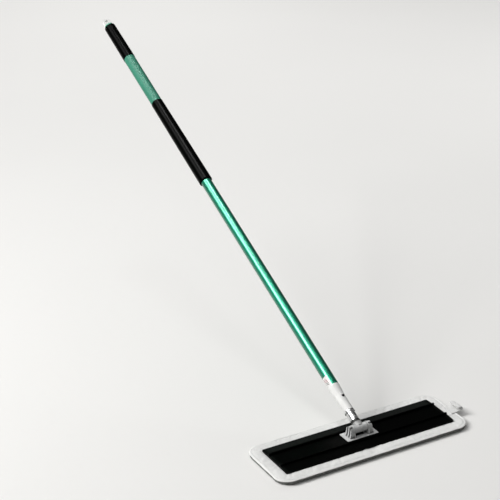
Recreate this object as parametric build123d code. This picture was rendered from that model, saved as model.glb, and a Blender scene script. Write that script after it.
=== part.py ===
from build123d import *
import math
import os

# Flat mop: a leaning one-piece handle, a swivel and tilt joint, and a flat
# frame that carries a hook-and-loop pad.
# Frame: origin at the centre of the pad's underside, +X along the head's long
# side, +Y the way the handle leans, +Z up.  Millimetres.

os.makedirs("parts", exist_ok=True)

# ---------------------------------------------------------------- dimensions
LEAN_DEG = 25.7          # handle's angle above the head, as stored
PIVOT_Z = 30.0           # tilt axis above the pad's underside

# handle, stations S along its axis from the tilt axis
TUBE_R = 12.5
TUBE_WALL = 1.2
TUBE_S0, TUBE_S1 = 112.1, 1285.0
GRIP_LOW_S0, GRIP_LOW_S1 = 733.0, 1007.0
GRIP_UP_S0, GRIP_UP_S1 = 1171.0, 1292.6
LABEL_R = 13.75
GRIP_LOW_R0, GRIP_LOW_R1 = 15.7, 14.35
GRIP_UP_R0, GRIP_UP_R1 = 14.6, 13.9
LOOP_TOP_S = 1320.0
LOOP_W, LOOP_T = 21.0, 7.0
PLUG_NOSE_R, PLUG_NOSE_S = 10.6, 1297.2
HANG_HOLE_R = 5.2
HANG_HOLE_S = 1309.5

# adaptor between the tube and the swivel
ADAPT_S0 = 44.1
ADAPT_R = 10.75
ADAPT_TAPER_S0, ADAPT_TAPER_S1 = 84.0, 107.5
ADAPT_STEM_TOP = 170.0
ADAPT_BORE_R = 7.55
RIVET_S = 125.0
BUTTON_S = 78.8
BUTTON_TURN = -79.0      # from +X about the handle's axis: on the upper side
BUTTON_R = 3.0
BUTTON_PROUD = 1.7

# swivel
SLEEVE_S0, SLEEVE_FLANGE_S, SLEEVE_TOP = 18.3, 39.1, 100.0
SLEEVE_R, SLEEVE_FLANGE_R, SLEEVE_STEM_R = 10.0, 11.7, 7.5
BOLT_R = 4.0
RUN_CLEAR = 0.05         # radial running clearance
BOLT_SEAT_S = 55.0
COUNTERBORE_R = 5.6

# yoke and tilt pin
BARREL_R, BARREL_HALF = 9.0, 15.3
NECK_R, NECK_TOP = 10.4, 16.2
WASHER_R = 9.1
PIN_R = 3.0

# base bracket
PLATE_X, PLATE_Y, PLATE_T = 74.4, 34.8, 2.3
PLATE_OFF_Y = 0.8
PLATE_LIP = 1.2          # the plate's rim stands over its narrower foot
EAR_IN, EAR_OUT = 15.7, 18.9
EAR_TOP_R, EAR_FOOT_HALF = 9.5, 13.0
RIB_TOP_X, RIB_FOOT_X, RIB_T = 25.4, 28.8, 3.8

# mop frame, an extrusion along X with an end cap on each end
FRAME_X, FRAME_Y = 406.0, 101.6
CAP_T = 7.0
CORNER_R = 3.5
DECK_Z0, DECK_Z1 = 12.0, 14.0
EDGE_Z1 = 12.8
FOOT_Z = 9.4
RIB_IN, RIB_OUT, RIB_Z = 21.3, 24.8, 18.0

# pad
PAD_X, PAD_Y, PAD_R = 460.0, 158.0, 32.0
PILE_Z, CORE_Z, BACK_Z, BIND_Z = 8.0, 8.7, 9.3, 9.9
BIND_W = 7.0
PILE_INSET = 0.6
TAB_Y, TAB_W, TAB_T = -8.0, 32.0, 1.6

LEAN = Pos(0, 0, PIVOT_Z) * Rot(-(90.0 - LEAN_DEG), 0, 0)


# ------------------------------------------------------------------- helpers
def turned(points, rounds=None):
    """A solid of revolution about Z from (radius, height) points; rounds maps
    a point's index to the radius of its fillet."""
    face = make_face(Polyline(*points, close=True))
    for i, r in (rounds or {}).items():
        at = points[i]
        near = face.vertices().sort_by_distance((at[0], at[1], 0))[0]
        face = fillet(near, r)
    return revolve(Plane.XZ * face, axis=Axis.Z)


def along_x(radius, x0, x1, y=0.0, z=0.0):
    """A cylinder along X from x0 to x1."""
    return Pos((x0 + x1) / 2, y, z) * Rot(0, 90, 0) * Cylinder(radius, x1 - x0)


def block(x0, x1, y0, y1, z0, z1):
    return Pos((x0 + x1) / 2, (y0 + y1) / 2, (z0 + z1) / 2) * Box(
        x1 - x0, y1 - y0, z1 - z0
    )


def slab(x, y, r, z0, z1):
    """A rounded rectangle plate from z0 to z1."""
    return extrude(Pos(0, 0, z0) * RectangleRounded(x, y, r), z1 - z0)


def save(shape, node):
    solids = shape.solids()
    shape = solids[0] if len(solids) == 1 else Compound(children=list(solids))
    shape.label = node
    export_step(shape, os.path.join("parts", node + ".step"))


# -------------------------------------------------------------------- handle
RIVET_SIDE = Rot(0, 0, 90)        # the handle's underside
BUTTON_SIDE = Rot(0, 0, BUTTON_TURN)
tube = turned(
    [
        (TUBE_R - TUBE_WALL, TUBE_S0),
        (TUBE_R, TUBE_S0),
        (TUBE_R, TUBE_S1),
        (TUBE_R - TUBE_WALL, TUBE_S1),
    ]
)
tube -= RIVET_SIDE * along_x(1.65, 0, 20, 0, RIVET_S)
save(LEAN * tube, "handle_tube")

lower_grip = turned(
    [
        (TUBE_R, GRIP_LOW_S0),
        (GRIP_LOW_R0, GRIP_LOW_S0),
        (15.25, 860.0),
        (GRIP_LOW_R1, GRIP_LOW_S1),
        (TUBE_R, GRIP_LOW_S1),
    ],
    {1: 2.2, 3: 0.5},
)
save(LEAN * lower_grip, "lower_grip")

label_band = turned(
    [
        (TUBE_R, GRIP_LOW_S1),
        (LABEL_R, GRIP_LOW_S1),
        (LABEL_R, GRIP_UP_S0),
        (TUBE_R, GRIP_UP_S0),
    ]
)
save(LEAN * label_band, "label_band")

upper_grip = turned(
    [
        (TUBE_R, GRIP_UP_S0),
        (GRIP_UP_R0, GRIP_UP_S0),
        (GRIP_UP_R1, GRIP_UP_S1 - 12),
        (GRIP_UP_R1, GRIP_UP_S1),
        (PLUG_NOSE_R, GRIP_UP_S1),
        (PLUG_NOSE_R, TUBE_S1 + 2.0),
        (TUBE_R, TUBE_S1 + 2.0),
    ],
    {1: 0.5, 3: 3.1},
)
save(LEAN * upper_grip, "upper_grip")

# plug in the tube's top end; its nose stands out of the grip's closed end
top_plug = turned(
    [
        (0, TUBE_S1 - 26),
        (TUBE_R - TUBE_WALL - 0.05, TUBE_S1 - 26),
        (TUBE_R - TUBE_WALL - 0.05, TUBE_S1),
        (TUBE_R, TUBE_S1),
        (TUBE_R, TUBE_S1 + 2.0),
        (PLUG_NOSE_R, TUBE_S1 + 2.0),
        (PLUG_NOSE_R, PLUG_NOSE_S),
        (0, PLUG_NOSE_S),
    ],
    {1: 1.0, 6: 0.8},
)
slot = block(-6.0, 6.0, -LOOP_T / 2, LOOP_T / 2, TUBE_S1 - 12, PLUG_NOSE_S + 1)
top_plug -= slot
save(LEAN * top_plug, "top_plug")

# hanging loop: a flat lug on a tang that sits in the plug's slot
lug_c = LOOP_TOP_S - LOOP_W / 2
lug = Plane.XZ * (
    Pos(0, lug_c) * Circle(LOOP_W / 2)
    + Pos(0, (PLUG_NOSE_S + lug_c) / 2) * Rectangle(LOOP_W, lug_c - PLUG_NOSE_S)
)
lug_box = block(-12, 12, -12, 12, PLUG_NOSE_S, LOOP_TOP_S + 1)
hang_loop = extrude(lug, LOOP_T / 2, both=True) & lug_box
hang_loop += block(-5.9, 5.9, -LOOP_T / 2 + 0.05, LOOP_T / 2 - 0.05, TUBE_S1 - 11.5, PLUG_NOSE_S + 1)
hang_loop -= Pos(0, 0, HANG_HOLE_S) * Rot(90, 0, 0) * Cylinder(HANG_HOLE_R, 30)
save(LEAN * hang_loop, "hang_loop")

# ------------------------------------------------------------------- adaptor
adaptor = turned(
    [
        (ADAPT_BORE_R, ADAPT_S0),
        (ADAPT_R, ADAPT_S0),
        (ADAPT_R, ADAPT_TAPER_S0),
        (TUBE_R, ADAPT_TAPER_S1),
        (TUBE_R, TUBE_S0),
        (TUBE_R - TUBE_WALL - 0.05, TUBE_S0),
        (TUBE_R - TUBE_WALL - 0.05, ADAPT_STEM_TOP),
        (8.5, ADAPT_STEM_TOP),
        (8.5, 108.0),
        (0, 108.0),
        (0, 104.0),
        (ADAPT_BORE_R, 104.0),
    ],
    {1: 0.8, 2: 6.0, 3: 3.0, 6: 1.0},
)
adaptor -= BUTTON_SIDE * along_x(BUTTON_R + 0.6, 0, 15, 0, BUTTON_S)
adaptor -= RIVET_SIDE * along_x(1.65, 0, 20, 0, RIVET_S)
save(LEAN * adaptor, "handle_adaptor")

# blind rivet on the underside: a domed head outside, a bulb inside the stem
head = along_x(3.1, TUBE_R - 0.4, TUBE_R + 1.3, 0, RIVET_S)
edge = head.edges().filter_by(GeomType.CIRCLE).sort_by(Axis.X)[-1]
head = fillet(edge, 0.9) - Pos(0, 0, RIVET_S) * Cylinder(TUBE_R, 12)
bulb = along_x(2.5, 6.4, 9.2, 0, RIVET_S) & Pos(0, 0, RIVET_S) * Cylinder(8.45, 12)
rivet = RIVET_SIDE * (along_x(1.6, 7.0, TUBE_R + 0.6, 0, RIVET_S) + head + bulb)
save(LEAN * rivet, "adaptor_rivet")

# ------------------------------------------------------------- swivel sleeve
sleeve = turned(
    [
        (BOLT_R + RUN_CLEAR, SLEEVE_S0),
        (SLEEVE_R, SLEEVE_S0),
        (SLEEVE_R, SLEEVE_FLANGE_S),
        (SLEEVE_FLANGE_R, SLEEVE_FLANGE_S),
        (SLEEVE_FLANGE_R, ADAPT_S0),
        (SLEEVE_STEM_R, ADAPT_S0),
        (SLEEVE_STEM_R, SLEEVE_TOP),
        (COUNTERBORE_R, SLEEVE_TOP),
        (COUNTERBORE_R, BOLT_SEAT_S),
        (BOLT_R + RUN_CLEAR, BOLT_SEAT_S),
    ],
    {1: 0.8, 3: 0.9, 4: 0.9, 6: 0.6},
)
sleeve -= BUTTON_SIDE * along_x(BUTTON_R + RUN_CLEAR, 0, 12, 0, BUTTON_S)
save(LEAN * sleeve, "swivel_sleeve")

# ------------------------------------------------------- snap button, spring
tip = ADAPT_R + BUTTON_PROUD
button = along_x(BUTTON_R, 3.0, tip, 0, BUTTON_S)
tip_edge = button.edges().filter_by(GeomType.CIRCLE).sort_by(Axis.X)[-1]
button = fillet(tip_edge, 1.2)
button += along_x(4.2, 1.8, 3.2, 0, BUTTON_S)
save(LEAN * BUTTON_SIDE * button, "snap_button")

leaf = make_face(
    Polyline((1.6, 71), (1.6, 85), (1.1, 85), (1.1, 71), (1.6, 71))
)
back = make_face(
    Polyline((-4.6, 71), (-4.6, 90), (-4.1, 90), (-4.1, 71), (-4.6, 71))
)
bend = (Pos(-1.5, 71) * (Circle(3.1) - Circle(2.6))) & (
    Pos(-1.5, 69) * Rectangle(8, 4)
)
spring = extrude(Plane.XZ * (leaf + back + bend), 2.2, both=True)
save(LEAN * BUTTON_SIDE * spring, "button_spring")

# ------------------------------------------------------ bolt, washers, yoke
bolt = turned(
    [
        (0, 4.4),
        (BOLT_R, 4.4),
        (BOLT_R, BOLT_SEAT_S + 1.2),
        (5.2, BOLT_SEAT_S + 1.2),
        (5.2, BOLT_SEAT_S + 5.4),
        (0, BOLT_SEAT_S + 5.4),
    ],
    {1: 0.5, 4: 0.4},
)
bolt -= Pos(0, 0, BOLT_SEAT_S + 2.6) * extrude(RegularPolygon(2.6, 6), 4)
save(LEAN * bolt, "swivel_bolt")

thrust = turned(
    [
        (BOLT_R + 0.05, BOLT_SEAT_S + 0.2),
        (5.3, BOLT_SEAT_S + 0.2),
        (5.3, BOLT_SEAT_S + 1.2),
        (BOLT_R + 0.05, BOLT_SEAT_S + 1.2),
    ]
)
save(LEAN * thrust, "thrust_washer")

washer = turned(
    [
        (BOLT_R + 0.05, NECK_TOP),
        (WASHER_R, NECK_TOP),
        (WASHER_R, SLEEVE_S0 - 0.3),
        (BOLT_R + 0.05, SLEEVE_S0 - 0.3),
    ],
    {1: 0.3, 2: 0.3},
)
save(LEAN * washer, "swivel_washer")

neck = Pos(0, 0, (2 + NECK_TOP) / 2) * Cylinder(NECK_R, NECK_TOP - 2)
yoke = along_x(BARREL_R, -BARREL_HALF, BARREL_HALF) + neck
yoke -= along_x(PIN_R + 0.3, -30, 30)
yoke -= along_x(4.5, 8, 30)
yoke -= along_x(4.5, -30, -8)
yoke -= Pos(0, 0, 10.5) * Cylinder(BOLT_R, 13)
save(LEAN * yoke, "swivel_yoke")

bush = along_x(4.48, 8.05, BARREL_HALF) - along_x(PIN_R + RUN_CLEAR, 0, 30)
save(LEAN * (bush + mirror(bush, about=Plane.YZ)), "pivot_bushes")

# -------------------------------------------------------------- base bracket
PLATE_Z1 = DECK_Z1 + PLATE_T
plate = slab(PLATE_X, PLATE_Y, 1.5, DECK_Z1 + PLATE_LIP, PLATE_Z1)
top_rim = plate.faces().sort_by(Axis.Z)[-1].edges()
plate = fillet(top_rim, 0.4)
plate += slab(PLATE_X - 3.2, PLATE_Y - 3.2, 1.0, DECK_Z1, DECK_Z1 + PLATE_LIP + 0.2)
plate = Pos(0, PLATE_OFF_Y, 0) * plate
plate -= block(-11.5, 11.5, -5.5, 7.5, DECK_Z1 - 1, PLATE_Z1 + 1)


def ear_outline():
    """The ear's outline in Y and Z: a rounded top on a foot that spreads."""
    rise = PIVOT_Z - PLATE_Z1
    d = math.hypot(EAR_FOOT_HALF, rise)
    turn = math.asin(EAR_TOP_R / d) - math.atan2(EAR_FOOT_HALF, rise)
    ty, tz = EAR_TOP_R * math.cos(turn), EAR_TOP_R * math.sin(turn)
    foot = make_face(
        Polyline(
            (-EAR_FOOT_HALF, PLATE_Z1 - 0.5),
            (EAR_FOOT_HALF, PLATE_Z1 - 0.5),
            (EAR_FOOT_HALF, PLATE_Z1),
            (ty, PIVOT_Z + tz),
            (-ty, PIVOT_Z + tz),
            (-EAR_FOOT_HALF, PLATE_Z1),
            close=True,
        )
    )
    return foot + Pos(0, PIVOT_Z) * Circle(EAR_TOP_R)


ear = Pos(EAR_IN, 0, 0) * extrude(Plane.YZ * ear_outline(), EAR_OUT - EAR_IN)
reach = Pos(EAR_IN + 2, 0, 0) * extrude(Plane.YZ * ear_outline(), RIB_FOOT_X + 2 - EAR_IN)
RIB_TOP_Z = PIVOT_Z + EAR_TOP_R - 0.6
rib_curve = make_face(
    Polyline(
        (EAR_OUT - 1.5, RIB_TOP_Z),
        (RIB_TOP_X, RIB_TOP_Z),
        (RIB_TOP_X + 0.2, 35.0),
        (RIB_TOP_X + 0.5, 30.0),
        (RIB_TOP_X + 1.0, 25.0),
        (RIB_TOP_X + 2.0, 20.5),
        (RIB_FOOT_X, PLATE_Z1),
        (RIB_FOOT_X, PLATE_Z1 - 0.5),
        (EAR_OUT - 1.5, PLATE_Z1 - 0.5),
        close=True,
    )
)
for y in (-8.4, 0.0, 8.4):
    rib = Pos(0, y, 0) * extrude(Plane.XZ * rib_curve, RIB_T / 2, both=True)
    ear += rib & reach
ear -= along_x(PIN_R + 0.02, 0, RIB_TOP_X - 2.6, 0, PIVOT_Z)
left_ear = mirror(ear, about=Plane.YZ)
right_ear = ear - along_x(PIN_R + 0.02, 10, 40, 0, PIVOT_Z)
bracket = plate + left_ear + right_ear
SCREW_AT = [(sx * 22.4, sy * 8.4) for sx in (-1, 1) for sy in (-1, 1)]
for x, y in SCREW_AT:
    bracket -= Pos(x, y, 17) * Cylinder(1.62, 6.4)
save(bracket, "base_bracket")

pin = along_x(PIN_R, -RIB_TOP_X + 3.0, RIB_TOP_X + 1.2, 0, PIVOT_Z)
pin = chamfer(pin.edges().filter_by(GeomType.CIRCLE), 0.4)
save(pin, "tilt_pin")

screws = None
for x, y in SCREW_AT:
    one = Pos(x, y, 16) * Cylinder(1.6, 8) + Pos(x, y, 11.1) * Cylinder(3.4, 1.8)
    one -= Pos(x, y, 10.2) * Cylinder(1.2, 1.6)
    screws = one if screws is None else screws + one
save(screws, "bracket_screws")

# ----------------------------------------------------------------- mop frame
HALF_Y = FRAME_Y / 2
top_line = [
    (-HALF_Y, FOOT_Z),
    (-HALF_Y, EDGE_Z1),
    (-RIB_OUT, DECK_Z1),
    (-RIB_OUT, RIB_Z),
    (-RIB_IN, RIB_Z),
    (-RIB_IN, DECK_Z1),
    (RIB_IN, DECK_Z1),
    (RIB_IN, RIB_Z),
    (RIB_OUT, RIB_Z),
    (RIB_OUT, DECK_Z1),
    (HALF_Y, EDGE_Z1),
    (HALF_Y, FOOT_Z),
]
under_line = [
    (HALF_Y - 2.4, FOOT_Z),
    (HALF_Y - 2.4, 11.0),
    (27.0, 11.0),
    (27.0, FOOT_Z),
    (24.4, FOOT_Z),
    (24.4, DECK_Z0),
    (-24.4, DECK_Z0),
    (-24.4, FOOT_Z),
    (-27.0, FOOT_Z),
    (-27.0, 11.0),
    (-HALF_Y + 2.4, 11.0),
    (-HALF_Y + 2.4, FOOT_Z),
]
section = make_face(Polyline(*top_line, *under_line, close=True))
body_x = FRAME_X / 2 - CAP_T
frame = Pos(-body_x, 0, 0) * extrude(Plane.YZ * section, 2 * body_x)
for x, y in SCREW_AT:
    frame -= Pos(x, y, 13) * Cylinder(1.7, 4)
save(frame, "mop_frame")

cap_face = make_face(Polyline(*top_line, close=True))
cap = Pos(body_x, 0, 0) * extrude(Plane.YZ * cap_face, CAP_T)
corners = [
    e
    for e in cap.edges().filter_by(Axis.Z)
    if abs(abs(e.center().Y) - HALF_Y) < 0.1 and e.center().X > body_x + 1
]
cap = fillet(corners, CORNER_R)
cap += block(body_x - 9, body_x + 0.5, -23.8, 23.8, 9.8, 11.8)
save(cap, "end_cap_right")
save(mirror(cap, about=Plane.YZ), "end_cap_left")

for side, node in ((-1, "hook_strip_front"), (1, "hook_strip_back")):
    strip = block(-190, 190, 28.0, 47.8, BACK_Z + 0.05, 10.95)
    save(strip if side > 0 else mirror(strip, about=Plane.XZ), node)

# ----------------------------------------------------------------------- pad
pile = slab(
    PAD_X - 2 * PILE_INSET, PAD_Y - 2 * PILE_INSET, PAD_R - PILE_INSET, 0, PILE_Z
)
save(pile, "pad_pile")
core = slab(PAD_X - 2 * BIND_W, PAD_Y - 2 * BIND_W, PAD_R - BIND_W, PILE_Z, CORE_Z)
save(core, "pad_core")
backing = slab(PAD_X - 2 * BIND_W, PAD_Y - 2 * BIND_W, PAD_R - BIND_W, CORE_Z, BACK_Z)
save(backing, "pad_backing")
binding = slab(PAD_X, PAD_Y, PAD_R, PILE_Z, BIND_Z) - slab(
    PAD_X - 2 * BIND_W, PAD_Y - 2 * BIND_W, PAD_R - BIND_W, PILE_Z - 1, BIND_Z + 1
)
save(binding, "edge_binding")

# pull tab: a ribbon that leaves the pad's right end and curls up
tab_line = [
    (216.0, 10.8),
    (231.0, 10.9),
    (239.0, 11.4),
    (244.6, 13.6),
    (245.0, 17.6),
    (239.5, 20.2),
    (232.0, 20.0),
]
upper = []
lower = []
for i, (x, z) in enumerate(tab_line):
    a = tab_line[max(i - 1, 0)]
    b = tab_line[min(i + 1, len(tab_line) - 1)]
    tx, tz = b[0] - a[0], b[1] - a[1]
    n = math.hypot(tx, tz)
    upper.append((x - tz / n * TAB_T / 2, z + tx / n * TAB_T / 2))
    lower.append((x + tz / n * TAB_T / 2, z - tx / n * TAB_T / 2))
tab_face = make_face(Polyline(*upper, *reversed(lower), close=True))
tab = Pos(0, TAB_Y, 0) * extrude(Plane.XZ * tab_face, TAB_W / 2, both=True)
save(tab, "pull_tab")
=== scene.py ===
import math

import bpy
import numpy as np
from mathutils import Matrix, Vector


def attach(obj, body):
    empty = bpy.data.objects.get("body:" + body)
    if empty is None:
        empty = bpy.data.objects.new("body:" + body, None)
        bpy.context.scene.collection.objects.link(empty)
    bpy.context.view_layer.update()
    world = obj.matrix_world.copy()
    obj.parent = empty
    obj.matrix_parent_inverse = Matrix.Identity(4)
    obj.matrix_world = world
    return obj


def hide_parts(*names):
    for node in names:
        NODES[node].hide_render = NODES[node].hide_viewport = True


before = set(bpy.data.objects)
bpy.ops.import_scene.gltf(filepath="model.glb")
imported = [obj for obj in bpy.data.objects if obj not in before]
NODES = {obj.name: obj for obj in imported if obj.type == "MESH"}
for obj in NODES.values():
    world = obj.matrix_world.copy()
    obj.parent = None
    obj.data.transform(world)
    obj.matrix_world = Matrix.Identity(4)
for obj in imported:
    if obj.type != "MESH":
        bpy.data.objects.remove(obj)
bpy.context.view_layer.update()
SCENE = bpy.context.scene

MM = 0.001
LEAN_DEG = 25.7
PIVOT = np.array([0.0, 0.0, 30.0])
D = np.array([0.0, math.cos(math.radians(LEAN_DEG)), math.sin(math.radians(LEAN_DEG))])
UP = np.array([0.0, -D[2], D[1]])


def at_handle(x, y, s):
    """Row-frame millimetres of a point given in the handle's own axes: x across, y
    down and away from the upper side, s along the handle from the tilt axis."""
    return PIVOT + np.array([x, 0.0, 0.0]) - y * UP + s * D


# ------------------------------------------------------------------ materials
class Mat:
    """A Principled material built from procedural nodes. Lengths are millimetres."""

    def __init__(self, name, **values):
        self.m = bpy.data.materials.new(name)
        self.m.use_nodes = True
        self.nt = self.m.node_tree
        self.nt.nodes.clear()
        self.out = self.nt.nodes.new("ShaderNodeOutputMaterial")
        self.b = self.nt.nodes.new("ShaderNodeBsdfPrincipled")
        self.nt.links.new(self.b.outputs[0], self.out.inputs["Surface"])
        for key, value in values.items():
            self.b.inputs[key.replace("_", " ")].default_value = value

    def node(self, kind, links=None, values=None, **attrs):
        n = self.nt.nodes.new(kind)
        for key, value in attrs.items():
            setattr(n, key, value)
        for key, value in (values or {}).items():
            n.inputs[key].default_value = value
        for key, socket in (links or {}).items():
            self.nt.links.new(socket, n.inputs[key])
        return n

    def place(self, handle=False, scale=(1, 1, 1)):
        """Object coordinates in millimetres, optionally along the handle's axes, each
        divided by scale."""
        tc = self.node("ShaderNodeTexCoord")
        mp = self.node("ShaderNodeMapping", {"Vector": tc.outputs["Object"]},
                       vector_type="TEXTURE")
        mp.inputs["Scale"].default_value = (MM, MM, MM)
        if handle:
            mp.inputs["Location"].default_value = tuple(PIVOT * MM)
            mp.inputs["Rotation"].default_value = (math.radians(-(90 - LEAN_DEG)), 0, 0)
        if tuple(scale) == (1, 1, 1):
            return mp.outputs[0]
        st = self.node("ShaderNodeMapping", {"Vector": mp.outputs[0]}, vector_type="POINT")
        st.inputs["Scale"].default_value = tuple(1.0 / s for s in scale)
        return st.outputs[0]

    def noise(self, vec, scale=1.0, detail=3.0, rough=0.55, distortion=0.0):
        n = self.node("ShaderNodeTexNoise", {"Vector": vec},
                      {"Scale": scale, "Detail": detail, "Roughness": rough,
                       "Distortion": distortion})
        return n.outputs["Fac"]

    def voronoi(self, vec, scale=1.0, feature="F1", out="Distance", randomness=1.0):
        n = self.node("ShaderNodeTexVoronoi", {"Vector": vec},
                      {"Scale": scale, "Randomness": randomness}, feature=feature)
        return n.outputs[out]

    def wave(self, vec, scale=1.0, direction="X", distortion=0.0, profile="SIN"):
        n = self.node("ShaderNodeTexWave", {"Vector": vec},
                      {"Scale": scale, "Distortion": distortion},
                      wave_type="BANDS", bands_direction=direction, wave_profile=profile)
        return n.outputs["Fac"]

    def math(self, op, a, b=None, c=None, clamp=False):
        n = self.node("ShaderNodeMath", operation=op, use_clamp=clamp)
        for i, v in enumerate((a, b, c)):
            if v is None:
                continue
            if isinstance(v, (int, float)):
                n.inputs[i].default_value = v
            else:
                self.nt.links.new(v, n.inputs[i])
        return n.outputs[0]

    def span(self, value, lo, hi, to_lo=0.0, to_hi=1.0):
        n = self.node("ShaderNodeMapRange", {"Value": value},
                      {"From Min": lo, "From Max": hi, "To Min": to_lo, "To Max": to_hi})
        return n.outputs[0]

    def ramp(self, fac, *stops):
        n = self.node("ShaderNodeValToRGB", {"Fac": fac})
        e = n.color_ramp.elements
        while len(e) < len(stops):
            e.new(0.5)
        for el, (pos, col) in zip(e, stops):
            el.position = pos
            el.color = (*col, 1.0)
        return n.outputs["Color"]

    def mix(self, fac, a, b, blend="MIX"):
        n = self.node("ShaderNodeMix", data_type="RGBA", blend_type=blend)
        for key, v in ((0, fac), (6, a), (7, b)):
            if isinstance(v, (int, float)):
                n.inputs[key].default_value = v
            elif isinstance(v, tuple):
                n.inputs[key].default_value = (*v, 1.0)
            else:
                self.nt.links.new(v, n.inputs[key])
        return n.outputs[2]

    def colour(self, socket):
        self.nt.links.new(socket, self.b.inputs["Base Color"])
        return self

    def rough(self, socket):
        self.nt.links.new(socket, self.b.inputs["Roughness"])
        return self

    def bump(self, *heights):
        """(height socket, distance in mm, strength) laid over one another."""
        last = None
        for h, dist, strength in heights:
            n = self.node("ShaderNodeBump", {"Height": h},
                          {"Strength": strength, "Distance": dist * MM})
            if last is not None:
                self.nt.links.new(last, n.inputs["Normal"])
            last = n.outputs[0]
        self.nt.links.new(last, self.b.inputs["Normal"])
        return self


def green_anodised():
    m = Mat("green_anodised", Metallic=0.92, Coat_Weight=1.0, Coat_Roughness=0.24,
            Coat_IOR=1.5, Specular_IOR_Level=0.5)
    lines = m.noise(m.place(True, (0.35, 0.35, 90)), 1.0, 4, 0.6)
    cloud = m.noise(m.place(True, (30, 30, 160)), 1.0, 2, 0.5)
    tone = m.math("ADD", m.math("MULTIPLY", lines, 0.6), m.math("MULTIPLY", cloud, 0.4))
    green = m.ramp(tone, (0.28, (0.002, 0.190, 0.108)), (0.52, (0.003, 0.225, 0.129)),
                   (0.75, (0.004, 0.262, 0.152)))
    # a plain white sticker with a few bars, on the left side near the lower end
    at = m.node("ShaderNodeSeparateXYZ", {0: m.place(True)})
    x, y, s = at.outputs[0], at.outputs[1], at.outputs[2]
    turn = math.radians(168)
    face = m.math("ADD", m.math("MULTIPLY", x, math.cos(turn)), m.math("MULTIPLY", y, -math.sin(turn)))
    on = m.math("MULTIPLY", m.math("GREATER_THAN", face, 9.4), m.math("LESS_THAN", s, 137.0))
    side = m.math("ADD", m.math("MULTIPLY", x, math.sin(turn)), m.math("MULTIPLY", y, math.cos(turn)))
    slant = m.math("ADD", s, m.math("MULTIPLY", side, 0.45))
    bar = m.math("MULTIPLY", m.math("GREATER_THAN", m.math("FRACT", m.math("DIVIDE", slant, 3.4)), 0.62),
                 m.math("LESS_THAN", m.math("ABSOLUTE", side), 5.6))
    low = m.math("LESS_THAN", slant, 123.0)
    ink = m.mix(low, (0.30, 0.02, 0.035), (0.06, 0.06, 0.06))
    red = m.math("MULTIPLY", bar, m.math("GREATER_THAN", slant, 116.5))
    red = m.math("MULTIPLY", red, m.math("LESS_THAN", slant, 132.0))
    paper = m.mix(red, (0.80, 0.79, 0.78), ink)
    m.colour(m.mix(on, green, paper))
    m.nt.links.new(m.math("SUBTRACT", 0.92, m.math("MULTIPLY", on, 0.92)), m.b.inputs["Metallic"])
    m.rough(m.span(lines, 0.3, 0.7, 0.44, 0.54))
    return m.bump((lines, 0.02, 0.35)).m


def black_grip():
    m = Mat("black_grip", Specular_IOR_Level=0.03)
    grain = m.voronoi(m.place(True, (0.9, 0.9, 1.1)), 1.0, "SMOOTH_F1")
    fine = m.noise(m.place(True), 2.2, 3, 0.6)
    wear = m.noise(m.place(True, (14, 14, 60)), 1.0, 4, 0.6)
    m.colour(m.ramp(wear, (0.35, (0.0006, 0.0007, 0.0006)), (0.6, (0.0010, 0.0012, 0.0010)),
                    (0.8, (0.0026, 0.0029, 0.0025))))
    m.rough(m.span(wear, 0.3, 0.75, 0.31, 0.25))
    return m.bump((grain, 0.05, 0.3), (fine, 0.03, 0.3)).m


def label_film():
    m = Mat("label_film", Specular_IOR_Level=0.35)
    cloud = m.noise(m.place(True, (10, 10, 45)), 1.0, 3, 0.55)
    fine = m.noise(m.place(True, (0.5, 0.5, 2.5)), 1.0, 2, 0.5)
    m.colour(m.ramp(cloud, (0.3, (0.034, 0.200, 0.132)), (0.55, (0.041, 0.230, 0.152)),
                    (0.8, (0.050, 0.260, 0.176))))
    m.rough(m.span(cloud, 0.3, 0.7, 0.48, 0.58))
    return m.bump((fine, 0.02, 0.4), (cloud, 0.05, 0.3)).m


def moulded(name, dark, mid, light, rough=(0.28, 0.42), handle=True, **values):
    """Moulded plastic with a fine spark-eroded grain and faint flow marks."""
    values.setdefault("Specular_IOR_Level", 0.5)
    m = Mat(name, **values)
    flow = m.noise(m.place(handle, (8, 8, 26)), 1.0, 3, 0.5)
    grain = m.noise(m.place(handle), 5.5, 2, 0.6)
    m.colour(m.ramp(flow, (0.3, dark), (0.52, mid), (0.78, light)))
    m.rough(m.span(flow, 0.3, 0.72, *rough))
    return m.bump((grain, 0.03, 0.3)).m


def chrome():
    m = Mat("chrome", Metallic=1.0)
    rings = m.noise(m.place(True, (24, 24, 0.22)), 1.0, 3, 0.6)
    smear = m.noise(m.place(True, (3.5, 3.5, 6)), 1.0, 4, 0.65)
    m.colour(m.ramp(smear, (0.3, (0.60, 0.61, 0.61)), (0.55, (0.74, 0.745, 0.74)),
                    (0.8, (0.84, 0.845, 0.84))))
    m.rough(m.span(smear, 0.35, 0.75, 0.20, 0.38))
    return m.bump((rings, 0.012, 0.35), (smear, 0.05, 0.2)).m


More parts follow.
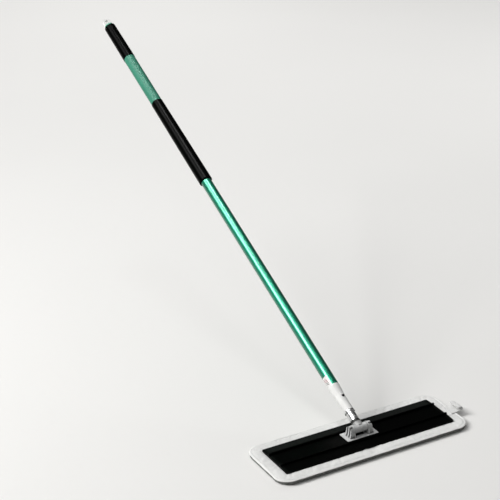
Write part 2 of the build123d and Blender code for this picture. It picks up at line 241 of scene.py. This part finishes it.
def cast_grey(name="cast_grey", handle=False):
    m = Mat(name, Metallic=0.1, Specular_IOR_Level=0.15)
    skin = m.noise(m.place(handle), 0.9, 5, 0.62)
    cloud = m.noise(m.place(handle, (9, 9, 9)), 1.0, 3, 0.5)
    pits = m.voronoi(m.place(handle, (1.4, 1.4, 1.4)), 1.0, "SMOOTH_F1")
    tone = m.ramp(cloud, (0.3, (0.52, 0.525, 0.52)), (0.55, (0.61, 0.615, 0.61)),
                  (0.8, (0.68, 0.685, 0.68)))
    # painted shade: the colour darkens in the casting's corners and recesses, where ambient occlusion is
    # high
    ao = m.node("ShaderNodeAmbientOcclusion", values={"Distance": 7 * MM}, samples=12)
    painted_crevice_shade = m.ramp(ao.outputs["AO"], (0.15, (0.10, 0.10, 0.097)), (0.50, (0.45, 0.45, 0.445)),
                   (0.90, (1.0, 1.0, 1.0)))
    tone_with_painted_shade = m.mix(1.0, tone, painted_crevice_shade, "MULTIPLY")
    if handle:
        # painted shade: the neck darkens part of the way from about 2 mm along the handle and is fully
        # dark from 12.6 mm up, a dark ring standing in for the shaded gap under the turning sleeve
        s = m.node("ShaderNodeSeparateXYZ", {0: m.place(True)}).outputs[2]
        ring = m.ramp(m.math("DIVIDE", s, 20.0), (0.10, (0.0, 0.0, 0.0)), (0.30, (0.34, 0.34, 0.34)),
                      (0.56, (0.46, 0.46, 0.46)), (0.63, (1.0, 1.0, 1.0)))
        tone_with_painted_shade = m.mix(ring, tone_with_painted_shade, (0.05, 0.05, 0.048))
    m.colour(tone_with_painted_shade)
    m.rough(m.span(skin, 0.3, 0.75, 0.50, 0.64))
    return m.bump((skin, 0.10, 0.3), (pits, 0.06, 0.2)).m


def black_frame():
    m = Mat("black_frame", Specular_IOR_Level=0.03)
    lines = m.noise(m.place(False, (140, 0.45, 0.45)), 1.0, 4, 0.62)
    dust = m.noise(m.place(), 0.16, 5, 0.65)
    body = m.ramp(dust, (0.35, (0.0004, 0.0005, 0.0004)), (0.6, (0.0007, 0.0008, 0.0007)),
                  (0.82, (0.0028, 0.0030, 0.0028)))
    # painted reflection: the back flange gets a lighter colour, standing in for the pale surroundings it
    # reflects, with a little random variation from the dust noise
    y = m.node("ShaderNodeSeparateXYZ", {0: m.place()}).outputs[1]
    flange = m.math("GREATER_THAN", y, 25.0)
    painted_flange_sheen = m.ramp(dust, (0.35, (0.0075, 0.0086, 0.0080)), (0.7, (0.0120, 0.0135, 0.0125)))
    m.colour(m.mix(flange, body, painted_flange_sheen))
    m.rough(m.span(lines, 0.3, 0.72, 0.26, 0.36))
    return m.bump((lines, 0.015, 0.25)).m


def hook_tape():
    m = Mat("hook_tape", Specular_IOR_Level=0.35)
    hooks = m.voronoi(m.place(False, (1.6, 1.2, 1.6)), 1.0, randomness=0.25)
    m.colour(m.ramp(hooks, (0.1, (0.055, 0.055, 0.055)), (0.45, (0.016, 0.016, 0.016)),
                    (0.8, (0.006, 0.006, 0.006))))
    m.rough(m.span(hooks, 0.0, 0.7, 0.42, 0.7))
    return m.bump((hooks, 0.5, 0.8)).m


def metal(name, dark, light, rough=(0.25, 0.4), handle=False):
    m = Mat(name, Metallic=1.0)
    wear = m.noise(m.place(handle, (3, 3, 3)), 1.0, 4, 0.6)
    fine = m.noise(m.place(handle, (0.3, 0.3, 0.3)), 1.0, 3, 0.6)
    m.colour(m.ramp(wear, (0.3, dark), (0.75, light)))
    m.rough(m.span(wear, 0.3, 0.75, *rough))
    return m.bump((fine, 0.02, 0.3)).m


def knit_white():
    m = Mat("knit_white", Specular_IOR_Level=0.2, Sheen_Weight=0.25, Sheen_Roughness=0.5)
    along = m.wave(m.place(False, (1, 1, 1)), 0.42, "X", 0.6)
    across = m.wave(m.place(False, (1, 1, 1)), 0.30, "Y", 0.6)
    loops = m.math("MULTIPLY", along, across)
    fuzz = m.noise(m.place(), 1.7, 4, 0.65)
    cloud = m.noise(m.place(False, (26, 26, 26)), 1.0, 3, 0.55)
    tone = m.math("ADD", m.math("MULTIPLY", cloud, 0.7), m.math("MULTIPLY", loops, 0.3))
    m.colour(m.ramp(tone, (0.22, (0.70, 0.702, 0.688)), (0.5, (0.77, 0.77, 0.757)),
                    (0.78, (0.82, 0.82, 0.806))))
    m.rough(m.span(fuzz, 0.2, 0.8, 0.82, 0.96))
    return m.bump((loops, 0.35, 0.5), (fuzz, 0.25, 0.45)).m


def binding_tape():
    m = Mat("binding_tape", Specular_IOR_Level=0.25, Sheen_Weight=0.2, Sheen_Roughness=0.4)
    fuzz = m.noise(m.place(), 2.1, 4, 0.65)
    twill = m.voronoi(m.place(False, (0.75, 0.75, 0.5)), 1.0, "SMOOTH_F1")
    cloud = m.noise(m.place(False, (20, 20, 20)), 1.0, 3, 0.55)
    m.colour(m.ramp(cloud, (0.3, (0.73, 0.73, 0.715)), (0.55, (0.79, 0.79, 0.775)),
                    (0.8, (0.84, 0.84, 0.825))))
    m.rough(m.span(fuzz, 0.2, 0.8, 0.7, 0.9))
    return m.bump((twill, 0.18, 0.5), (fuzz, 0.12, 0.4)).m


def thread(name, a, b):
    m = Mat(name, Specular_IOR_Level=0.3)
    twist = m.wave(m.place(), 1.9, "DIAGONAL", 0.3)
    m.colour(m.ramp(twist, (0.2, a), (0.8, b)))
    m.rough(m.span(twist, 0.0, 1.0, 0.55, 0.8))
    return m.bump((twist, 0.08, 0.5)).m


def pile_yarn():
    m = Mat("pile_yarn", Specular_IOR_Level=0.15, Sheen_Weight=0.35, Sheen_Roughness=0.5)
    tone = m.noise(m.place(False, (5, 3.2, 5)), 1.0, 3, 0.6)
    fibre = m.noise(m.place(), 3.0, 3, 0.65)
    m.colour(m.ramp(tone, (0.3, (0.150, 0.154, 0.146)), (0.5, (0.220, 0.225, 0.214)),
                    (0.72, (0.320, 0.326, 0.310))))
    m.rough(m.span(fibre, 0.2, 0.8, 0.85, 0.97))
    return m.bump((fibre, 0.3, 0.7)).m


def pile_ground():
    m = Mat("pile_ground", Specular_IOR_Level=0.15)
    knit = m.voronoi(m.place(False, (1.6, 1.6, 1.6)), 1.0, randomness=0.5)
    m.colour(m.ramp(knit, (0.1, (0.075, 0.077, 0.077)), (0.7, (0.03, 0.031, 0.031))))
    m.rough(m.span(knit, 0.0, 0.8, 0.8, 0.95))
    return m.bump((knit, 0.5, 0.7)).m


def ribbon():
    m = Mat("ribbon", Specular_IOR_Level=0.3, Sheen_Weight=0.2, Sheen_Roughness=0.4)
    ribs = m.wave(m.place(False, (1, 1, 1)), 0.33, "X", 0.2)
    weft = m.wave(m.place(False, (1, 1, 1)), 0.5, "Y", 0.3)
    fuzz = m.noise(m.place(), 1.8, 3, 0.6)
    tone = m.math("ADD", m.math("MULTIPLY", ribs, 0.4), m.math("MULTIPLY", fuzz, 0.6))
    m.colour(m.ramp(tone, (0.2, (0.64, 0.64, 0.63)), (0.6, (0.75, 0.75, 0.74)),
                    (0.85, (0.81, 0.81, 0.80))))
    m.rough(m.span(fuzz, 0.2, 0.8, 0.6, 0.85))
    return m.bump((ribs, 0.2, 0.6), (weft, 0.1, 0.3)).m


MATERIALS = {
    "handle_tube": green_anodised(),
    "lower_grip": black_grip(),
    "label_band": label_film(),
    "top_plug": moulded("green_plastic", (0.10, 0.40, 0.27), (0.14, 0.48, 0.33),
                        (0.18, 0.55, 0.39)),
    "hang_loop": moulded("white_plastic", (0.76, 0.76, 0.745), (0.83, 0.83, 0.815),
                         (0.87, 0.87, 0.855), (0.48, 0.62), Specular_IOR_Level=0.2),
    "adaptor_rivet": metal("dark_rivet", (0.05, 0.05, 0.05), (0.10, 0.10, 0.10),
                           (0.3, 0.45), True),
    "swivel_sleeve": chrome(),
    "snap_button": metal("dark_steel", (0.03, 0.03, 0.03), (0.07, 0.07, 0.07),
                         (0.25, 0.42), True),
    "button_spring": metal("spring_steel", (0.28, 0.27, 0.25), (0.40, 0.39, 0.37),
                           (0.2, 0.35), True),
    "swivel_bolt": metal("steel", (0.40, 0.40, 0.40), (0.56, 0.56, 0.55), (0.22, 0.38), True),
    "thrust_washer": metal("bronze", (0.35, 0.20, 0.08), (0.48, 0.30, 0.13), (0.25, 0.4), True),
    "swivel_washer": moulded("black_plastic", (0.006, 0.006, 0.006), (0.010, 0.010, 0.010),
                             (0.016, 0.016, 0.016), (0.35, 0.5)),
    "swivel_yoke": cast_grey("cast_grey_yoke", True),
    "base_bracket": cast_grey(),
    "mop_frame": black_frame(),
    "end_cap_left": moulded("black_cap", (0.0012, 0.0014, 0.0013), (0.0022, 0.0025, 0.0023),
                            (0.0045, 0.005, 0.0046), (0.3, 0.4), False,
                            Specular_IOR_Level=0.05),
    "hook_strip_front": hook_tape(),
}
SAME = {
    "upper_grip": "lower_grip",
    "handle_adaptor": "hang_loop",
    "pivot_bushes": "swivel_washer",
    "tilt_pin": "swivel_bolt",
    "bracket_screws": "swivel_bolt",
    "end_cap_right": "end_cap_left",
    "hook_strip_back": "hook_strip_front",
}
for node, ob in NODES.items():
    mat = MATERIALS.get(node) or MATERIALS.get(SAME.get(node, ""))
    if mat is not None:
        ob.data.materials.clear()
        ob.data.materials.append(mat)


# ----------------------------------------------------------------- mesh tools
def make(name, points_mm, faces, mat, smooth=True):
    me = bpy.data.meshes.new(name)
    me.from_pydata((np.asarray(points_mm, float) * MM).tolist(), [], faces)
    me.update()
    ob = bpy.data.objects.new(name, me)
    SCENE.collection.objects.link(ob)
    me.materials.append(mat)
    me.polygons.foreach_set("use_smooth", [smooth] * len(me.polygons))
    return ob


def subdivide(ob, levels=1):
    mod = ob.modifiers.new("subdivision", "SUBSURF")
    mod.levels = mod.render_levels = levels
    return ob


def outline(hx, hy, r, step):
    """Points, outward normals and arc lengths round a rounded rectangle."""
    pts, nrm = [], []
    corners = [(hx - r, -(hy - r), -90), (hx - r, hy - r, 0), (-(hx - r), hy - r, 90),
               (-(hx - r), -(hy - r), 180)]
    for i, (cx, cy, a0) in enumerate(corners):
        n = max(4, int(round(math.radians(90) * r / step)))
        for k in range(n + 1):
            a = math.radians(a0 + 90 * k / n)
            pts.append((cx + r * math.cos(a), cy + r * math.sin(a)))
            nrm.append((math.cos(a), math.sin(a)))
        nx, ny, _ = corners[(i + 1) % 4]
        a = math.radians(a0 + 90)
        end = np.array(pts[-1])
        nxt = np.array([nx + r * math.cos(a), ny + r * math.sin(a)])
        m = max(2, int(round(np.linalg.norm(nxt - end) / step)))
        for k in range(1, m):
            p = end + (nxt - end) * k / m
            pts.append(tuple(p))
            nrm.append((math.cos(a), math.sin(a)))
    pts, nrm = np.array(pts), np.array(nrm)
    seg = np.linalg.norm(np.roll(pts, -1, 0) - pts, axis=1)
    arc = np.concatenate([[0], np.cumsum(seg)[:-1]])
    return pts, nrm, arc, float(seg.sum())


def ring_faces(n, m, closed_section=True):
    """Quads of n sections of m points each, closed round the ring."""
    faces = []
    for i in range(n):
        j = (i + 1) % n
        for k in range(m if closed_section else m - 1):
            l = (k + 1) % m
            faces.append((i * m + k, j * m + k, j * m + l, i * m + l))
    return faces


# -------------------------------------------------------------------- the pad
PAD_HX, PAD_HY, PAD_R = 230.0, 79.0, 32.0
BODY_HX, BODY_HY, BODY_R = 224.6, 73.6, 26.6
FRAME_HX, FRAME_HY = 203.0, 50.8
CLOTH_Z = 9.1


def half_width(y, hx, hy, r):
    over = np.maximum(np.abs(y) - (hy - r), 0.0)
    return hx - r + np.sqrt(np.maximum(r * r - over * over, 0.0))


def body_grid(nx, ny, hx, hy, r):
    """A grid of points that fills a rounded rectangle, denser at its long edges."""
    t = np.linspace(-1, 1, ny)
    y = hy * np.sin(t * math.pi / 2) * 0.35 + hy * t * 0.65
    u = np.linspace(-1, 1, nx)
    w = half_width(y, hx, hy, r)
    return np.stack([u[None, :] * w[:, None], np.repeat(y[:, None], nx, 1)], -1)


def cloth_top(grid):
    """Heights of the pad's cloth after it is sewn slack at its rim and held under the
    frame: the free border puffs and puckers a little."""
    ny, nx = grid.shape[:2]
    flat = np.concatenate([grid.reshape(-1, 2), np.full((ny * nx, 1), CLOTH_Z)], 1)
    faces = [(j * nx + i, j * nx + i + 1, (j + 1) * nx + i + 1, (j + 1) * nx + i)
             for j in range(ny - 1) for i in range(nx - 1)]
    x, y = flat[:, 0], flat[:, 1]
    me = bpy.data.meshes.new("cloth_sim")
    me.from_pydata((flat * MM).tolist(), [], faces)
    ob = bpy.data.objects.new("cloth_sim", me)
    SCENE.collection.objects.link(ob)
    pins = ob.vertex_groups.new(name="pins")
    jj, ii = np.divmod(np.arange(ny * nx), nx)
    rim = (jj == 0) | (jj == ny - 1) | (ii == 0) | (ii == nx - 1)
    under = (np.abs(x) < FRAME_HX + 0.5) & (np.abs(y) < FRAME_HY + 0.5)
    pins.add([int(k) for k in np.nonzero(rim | under)[0]], 1.0, "REPLACE")
    mod = ob.modifiers.new("cloth", "CLOTH")
    cs = mod.settings
    cs.quality = 8
    cs.mass = 0.12
    cs.tension_stiffness = cs.compression_stiffness = 18
    cs.shear_stiffness = 6
    cs.bending_stiffness = 0.12
    cs.vertex_group_mass = "pins"
    cs.shrink_min = -0.035
    cs.effector_weights.gravity = 0.06
    old = tuple(SCENE.gravity)
    SCENE.gravity = (0, 0, 9.81)
    mod.point_cache.frame_start, mod.point_cache.frame_end = 1, 26
    for f in range(1, 27):
        SCENE.frame_set(f)
    dg = bpy.context.evaluated_depsgraph_get()
    sim = ob.evaluated_get(dg).to_mesh()
    co = np.zeros(len(sim.vertices) * 3)
    sim.vertices.foreach_get("co", co)
    co = co.reshape(-1, 3) / MM
    SCENE.gravity = old
    bpy.data.objects.remove(ob)
    SCENE.frame_set(1)
    move = co - flat
    print("cloth moved up to", np.round(np.abs(move).max(0), 2))
    move[:, :2] = np.clip(move[:, :2], -0.8, 0.8)
    move[:, 2] = np.clip(move[:, 2], -0.2, 1.3)
    return flat + move, faces


NX, NY = 181, 65
grid = body_grid(NX, NY, BODY_HX, BODY_HY, BODY_R)
top, quads = cloth_top(grid)
if top is None:
    top = np.concatenate([grid.reshape(-1, 2), np.full((NX * NY, 1), CLOTH_Z)], 1)
x, y = top[:, 0], top[:, 1]
free = np.maximum(np.clip((np.abs(x) - FRAME_HX) / 3, 0, 1),
                  np.clip((np.abs(y) - FRAME_HY) / 3, 0, 1))
rows, cols = np.divmod(np.arange(NX * NY), NX)
rim = np.minimum(np.minimum(rows, NY - 1 - rows) / 3.0, np.minimum(cols, NX - 1 - cols) / 3.0)
rim = np.clip(rim, 0, 1)
soft = (0.22 * np.sin(x / 17.0 + 1.3 * np.sin(y / 23.0)) + 0.16 * np.sin(y / 8.3 + x / 31.0)
        + 0.10 * np.sin(x / 5.1 - y / 6.7))
top[:, 2] += free * rim * (0.35 + soft)
top[:, 2] = np.where(free > 0, top[:, 2], np.minimum(top[:, 2], CLOTH_Z + 0.1))
bottom = top.copy()
bottom[:, 2] = 7.9
n_top = len(top)
faces = list(quads) + [tuple(n_top + k for k in reversed(q)) for q in quads]
loop = ([j for j in range(NX)] + [j * NX + NX - 1 for j in range(1, NY)]
        + [(NY - 1) * NX + j for j in range(NX - 2, -1, -1)]
        + [j * NX for j in range(NY - 2, 0, -1)])
for a, b in zip(loop, loop[1:] + loop[:1]):
    faces.append((b, a, n_top + a, n_top + b))
pad_cloth = make("pad_cloth", np.concatenate([top, bottom]), faces, knit_white())
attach(pad_cloth, "head")
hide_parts("pad_backing", "pad_core")


# edge binding: a folded tape sewn round the rim, swept with small puckers
SECTION = [(7.2, 9.05), (7.0, 9.35), (5.9, 9.62), (4.6, 9.88), (3.0, 10.0), (1.6, 9.78),
           (0.55, 9.15), (0.05, 8.3), (0.1, 7.35), (0.75, 6.55), (2.0, 6.15), (4.4, 6.1),
           (7.2, 6.15)]
pts, nrm, arc, total = outline(PAD_HX, PAD_HY, PAD_R, 1.25)
STITCH = 3.9
stitches = int(round(total / STITCH))
pitch = total / stitches
sections = []
for p, nv, l in zip(pts, nrm, arc):
    wave = (0.28 * math.sin(2 * math.pi * l / (total / 31)) + 0.2 * math.sin(
        2 * math.pi * l / (total / 53) + 1.1) + 0.12 * math.sin(2 * math.pi * l / (total / 97)))
    pinch = 0.5 - 0.5 * math.cos(2 * math.pi * l / pitch)
    low = 8.0 - 2.9 * min(1.0, abs(nv[0]) * 1.1) ** 3
    for u, z in SECTION:
        outer = max(0.0, 1 - u / 5.0)
        z = z if z > 9.3 else 9.3 - (9.3 - z) * (9.3 - low) / 3.2
        lift = 0.10 * pinch * math.exp(-((u - 5.4) / 1.4) ** 2)
        q = p - nv * (u + 0.25 - 0.8 * wave * outer)
        sections.append((q[0], q[1], z + (lift + 0.10 * wave * outer if z > 7 else 0)))
binding = make("pad_binding", sections, ring_faces(len(pts), len(SECTION)), binding_tape())
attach(binding, "head")
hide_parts("edge_binding")

# the stitches that hold the binding, one thread run near its inner edge
sp, sn, sa, _ = outline(PAD_HX - 5.5, PAD_HY - 5.5, PAD_R - 5.5, 0.5)
sv, sf = [], []
length = np.concatenate([sa, [sa[-1] + 0.5]])
for k in range(stitches):
    l0 = (k + 0.5) * sa[-1] / stitches
    i = int(np.searchsorted(sa, l0)) % len(sp)
    c, nv = sp[i], sn[i]
    t = np.array([-nv[1], nv[0]])
    base = len(sv)
    for a, rr, dz in ((-1.35, 0.05, -0.25), (-1.1, 0.27, -0.05), (-0.5, 0.34, 0.09),
                      (0.5, 0.34, 0.09), (1.1, 0.27, -0.05), (1.35, 0.05, -0.25)):
        for h in range(6):
            ang = math.pi * 2 * h / 6
            q = c + t * a + nv * rr * math.cos(ang)
            sv.append((q[0], q[1], 9.82 + dz + rr * math.sin(ang)))
    for s in range(5):
        for h in range(6):
            g = (h + 1) % 6
            sf.append((base + s * 6 + h, base + s * 6 + g, base + (s + 1) * 6 + g,
                       base + (s + 1) * 6 + h))
    sf.append(tuple(base + h for h in reversed(range(6))))
    sf.append(tuple(base + 30 + h for h in range(6)))
stitching = make("binding_stitches", sv, sf, thread("stitch_thread", (0.66, 0.66, 0.65),
                                                    (0.86, 0.86, 0.85)))
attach(stitching, "head")

# pile: a knitted ground with yarn loops that hang from it and splay at the rim
gp, gn, ga, _ = outline(227.2, 76.2, 29.2, 3.0)
profile = [(2.6, 3.6), (0.9, 3.8), (0.0, 4.6), (0.0, 7.2), (0.6, 7.9), (2.6, 8.05)]
gv = [(*(p - nv * u), z) for p, nv in zip(gp, gn) for u, z in profile]
gf = ring_faces(len(gp), len(profile), False)
m = len(profile)
gf.append(tuple(reversed([i * m for i in range(len(gp))])))
gf.append(tuple(i * m + m - 1 for i in range(len(gp))))
ground = make("pile_backing", gv, [tuple(reversed(f)) for f in gf], pile_ground())
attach(ground, "head")

rng = np.random.default_rng(7)
LOOP_SIDES = 4


def yarn_loop(verts, faces, root, out, width, drop, reach, radius):
    """One loop of yarn: it leaves the ground at root, hangs by drop, leans by reach
    along out, and comes back beside its root."""
    side = np.array([-out[1], out[0], 0.0])
    lean = np.array([out[0], out[1], 0.0])
    line = []
    for t in np.linspace(0, math.pi, 6):
        line.append(root + side * (-math.cos(t)) * width / 2
                    - np.array([0, 0, 1.0]) * drop * math.sin(t) ** 0.8
                    + lean * reach * math.sin(t))
    line = np.array(line)
    base = len(verts)
    n = len(line)
    for i, p in enumerate(line):
        tan = line[min(i + 1, n - 1)] - line[max(i - 1, 0)]
        tan /= np.linalg.norm(tan)
        a = np.cross(tan, [0.31, 0.22, 0.93])
        a /= np.linalg.norm(a)
        b = np.cross(tan, a)
        for h in range(LOOP_SIDES):
            ang = 2 * math.pi * h / LOOP_SIDES
            verts.append(p + radius * (a * math.cos(ang) + b * math.sin(ang)))
    for i in range(n - 1):
        for h in range(LOOP_SIDES):
            g = (h + 1) % LOOP_SIDES
            faces.append((base + i * LOOP_SIDES + h, base + (i + 1) * LOOP_SIDES + h,
                          base + (i + 1) * LOOP_SIDES + g, base + i * LOOP_SIDES + g))


lv, lf = [], []
for row, yy in enumerate(np.arange(-72.5, 72.6, 4.15)):
    w = float(half_width(np.array([yy]), 225.0, 74.0, 27.0)[0]) - 2.5
    count = int(2 * w / 4.3)
    for k in range(count):
        xx = -w + 2 * w * (k + 0.5 * (row % 2) + 0.25) / count
        jx, jy = rng.normal(0, 0.35, 2)
        ang = rng.uniform(0, 2 * math.pi)
        drop = 3.75 + rng.uniform(-0.35, 0.15)
        yarn_loop(lv, lf, np.array([xx + jx, yy + jy, 4.25]), (math.cos(ang), math.sin(ang)),
                  2.5 + rng.uniform(-0.3, 0.4), drop - 0.75, rng.uniform(0.2, 1.3), 0.78)
pile = make("pad_pile_loops", lv, lf, pile_yarn())
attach(pile, "head")
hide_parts("pad_pile")

rv, rf = [], []
for inset, z0, step, reach, drop in ((0.5, 7.7, 2.3, 0.9, 1.7), (0.4, 6.4, 2.4, 1.5, 2.3),
                                     (0.9, 5.0, 2.5, 1.9, 3.9)):
    ep, en, ea, el = outline(227.0 - inset, 76.0 - inset, 29.0 - inset, 0.6)
    for l in np.arange(0, el, step):
        i = int(np.searchsorted(ea, l + rng.uniform(-0.4, 0.4))) % len(ep)
        o = en[i] + rng.normal(0, 0.22, 2)
        o /= np.linalg.norm(o)
        yarn_loop(rv, rf, np.array([ep[i][0], ep[i][1], z0 + rng.uniform(-0.2, 0.2)]), o,
                  2.3 + rng.uniform(-0.2, 0.5), drop + rng.uniform(-0.3, 0.25),
                  reach + rng.uniform(-0.5, 0.5), 0.72)
fringe = make("pile_edge_loops", rv, rf, pile.data.materials[0])
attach(fringe, "head")


# pull tab: a woven ribbon that leaves the pad's right end and curls back on itself
def smooth_line(points, n):
    """Catmull-Rom through the points, n pieces between each two."""
    p = np.array(points, float)
    p = np.concatenate([[2 * p[0] - p[1]], p, [2 * p[-1] - p[-2]]])
    out = []
    for i in range(1, len(p) - 2):
        for k in range(n):
            t = k / n
            a, b, c, d = p[i - 1], p[i], p[i + 1], p[i + 2]
            out.append(0.5 * (2 * b + (c - a) * t + (2 * a - 5 * b + 4 * c - d) * t * t
                              + (3 * b - a - 3 * c + d) * t ** 3))
    out.append(p[-2])
    return np.array(out)


TAB_Y, TAB_W, TAB_T = -8.0, 32.0, 1.1
tab_line = smooth_line([(216.0, 10.45), (224.0, 10.7), (231.0, 10.9), (239.0, 11.4),
                        (244.4, 13.4), (244.8, 17.6), (239.5, 20.2), (232.0, 20.0)], 6)
ACROSS = 17
tv, tf = [], []
for side in (1, -1):
    for i, (px, pz) in enumerate(tab_line):
        a, b = tab_line[max(i - 1, 0)], tab_line[min(i + 1, len(tab_line) - 1)]
        tx, tz = (b - a) / np.linalg.norm(b - a)
        s = i / (len(tab_line) - 1)
        for k in range(ACROSS):
            v = k / (ACROSS - 1) * 2 - 1
            hem = 0.22 if abs(v) > 0.86 else 0.0
            th = (TAB_T / 2 + hem * 0.5) * (1 if abs(v) < 0.999 else 0.35) * side
            cup = 0.5 * s * s * v * v - 0.25 * s * math.sin(3.1 * v + 4 * s)
            tv.append((px - tz * (th + cup), TAB_Y + v * TAB_W / 2 * (1 - 0.03 * s),
                       pz + tx * (th + cup)))
n_side = len(tab_line) * ACROSS
for i in range(len(tab_line) - 1):
    for k in range(ACROSS - 1):
        a = i * ACROSS + k
        tf.append((a, a + ACROSS, a + ACROSS + 1, a + 1))
        tf.append((n_side + a, n_side + a + 1, n_side + a + ACROSS + 1, n_side + a + ACROSS))
border = ([k for k in range(ACROSS)] + [i * ACROSS + ACROSS - 1 for i in range(1, len(tab_line))]
          + [(len(tab_line) - 1) * ACROSS + k for k in range(ACROSS - 2, -1, -1)]
          + [i * ACROSS for i in range(len(tab_line) - 2, 0, -1)])
for a, b in zip(border, border[1:] + border[:1]):
    tf.append((a, b, n_side + b, n_side + a))
tab = make("pull_ribbon", tv, tf, ribbon())
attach(tab, "head")
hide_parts("pull_tab")


# ---------------------------------------------------------- stage and lighting
def plain_floor():
    m = Mat("floor", Roughness=0.9, Specular_IOR_Level=0.15)
    cloud = m.noise(m.place(False, (900, 900, 900)), 1.0, 2, 0.5)
    return m.colour(m.ramp(cloud, (0.3, (0.80, 0.795, 0.78)), (0.7, (0.815, 0.81, 0.795)))).m


floor = make("floor", [(-9000, -9000, -0.3), (9000, -9000, -0.3), (9000, 9000, -0.3),
                       (-9000, 9000, -0.3)], [(0, 1, 2, 3)], plain_floor(), False)


def area(name, place, target, size, power, colour=(1, 1, 1), size_y=None,
         shine=True, wash=True, spread=180):
    light = bpy.data.lights.new(name, "AREA")
    light.energy = power
    light.color = colour
    light.size = size
    if size_y:
        light.shape = "RECTANGLE"
        light.size_y = size_y
    ob = bpy.data.objects.new(name, light)
    light.spread = math.radians(spread)
    ob.visible_glossy = shine
    ob.visible_diffuse = wash
    ob.location = place
    ob.rotation_mode = "QUATERNION"
    ob.rotation_quaternion = (Vector(target) - Vector(place)).to_track_quat("-Z", "Y")
    SCENE.collection.objects.link(ob)
    return ob


def sun(name, direction, strength, angle, colour=(1, 1, 1)):
    light = bpy.data.lights.new(name, "SUN")
    light.energy = strength
    light.angle = math.radians(angle)
    light.color = colour
    ob = bpy.data.objects.new(name, light)
    ob.rotation_mode = "QUATERNION"
    ob.rotation_quaternion = Vector(direction).to_track_quat("Z", "Y")
    SCENE.collection.objects.link(ob)
    return ob


sun("sun", (-0.60, 0.30, 0.74), 1.0, 22, (1.0, 0.995, 0.985))
area("key", (-2.3, 1.2, 1.9), (0.0, 0.2, 0.2), 0.8, 43, (1.0, 0.995, 0.985), shine=False)
area("back", (1.0, 3.5, 1.8), (0.5, 3.2, 0.0), 0.8, 10.5, (1.0, 0.995, 0.99), shine=False)
area("over", (0.05, 1.75, 2.7), (0.0, 0.9, 0.4), 0.5, 7, (1.0, 1.0, 1.0), shine=False)
area("fill", (3.2, 1.4, 1.8), (0.0, 0.1, 0.05), 0.9, 19, (1.0, 1.0, 1.0), shine=False)
# long highlights: one on the lower half of the handle, one on the upper half
area("streak low", (-1.64, 0.49, 2.36), (0.0, 0.16, 0.09), 1.1, 6.6, (1.0, 1.0, 1.0),
     wash=False, spread=50)
area("streak high", (-0.14, 1.29, 2.87), (0.0, 0.84, 0.44), 0.7, 2.5, (1.0, 1.0, 1.0),
     wash=False, spread=40)

# the studio round the object: a pale wall low down, dark above it, and one big
# window of light high on the left
world = bpy.data.worlds.new("studio")
world.use_nodes = True
SCENE.world = world
wn = world.node_tree


def wnode(kind, links=None, values=None, **attrs):
    n = wn.nodes.new(kind)
    for key, value in attrs.items():
        setattr(n, key, value)
    for key, value in (values or {}).items():
        n.inputs[key].default_value = value
    for key, socket in (links or {}).items():
        wn.links.new(socket, n.inputs[key])
    return n


def grade(fac, stops):
    n = wnode("ShaderNodeValToRGB", {"Fac": fac})
    while len(n.color_ramp.elements) < len(stops):
        n.color_ramp.elements.new(0.5)
    for el, (pos, v) in zip(n.color_ramp.elements, stops):
        el.position = pos
        el.color = (v, v, v, 1)
    return n.outputs["Color"]


sky = wnode("ShaderNodeTexCoord")
z = wnode("ShaderNodeSeparateXYZ", {0: sky.outputs["Generated"]}).outputs[2]
facing = wnode("ShaderNodeVectorMath", {0: sky.outputs["Generated"]}, {1: (-0.80, 0.20, 0.57)},
               operation="DOT_PRODUCT").outputs["Value"]
wall = grade(z, ((0.0, 0.08), (0.26, 0.08), (0.34, 0.0)))
high = grade(z, ((0.0, 0.0), (0.40, 0.0), (0.58, 1.0)))
window = grade(facing, ((0.0, 0.10), (0.48, 0.20), (0.74, 1.0), (1.0, 1.0)))
lit = wnode("ShaderNodeMix", {6: high, 7: window}, {0: 1.0}, data_type="RGBA",
            blend_type="MULTIPLY").outputs[2]
total = wnode("ShaderNodeMix", {6: lit, 7: wall}, {0: 1.0}, data_type="RGBA",
              blend_type="ADD").outputs[2]
wn.links.new(total, wn.nodes["Background"].inputs["Color"])
wn.nodes["Background"].inputs["Strength"].default_value = 1.0

SCENE.view_settings.view_transform = "Standard"
SCENE.view_settings.look = "None"

# camera, fitted to the view: it looks 24.4 degrees down, from the front left
cam = bpy.data.cameras.new("camera")
cam.sensor_width = 36.0
cam.lens = 115.05
cam.clip_end = 60
camera = bpy.data.objects.new("camera", cam)
right = Vector((0.87309, -0.48735, -0.01417))
up = Vector((0.21236, 0.35396, 0.91083))
forward = Vector((0.43888, 0.79825, -0.41254))
place = Vector((-1.5641, -2.3890, 1.7249))
camera.matrix_world = Matrix((
    (right.x, up.x, -forward.x, place.x),
    (right.y, up.y, -forward.y, place.y),
    (right.z, up.z, -forward.z, place.z),
    (0, 0, 0, 1)))
SCENE.collection.objects.link(camera)
SCENE.camera = camera
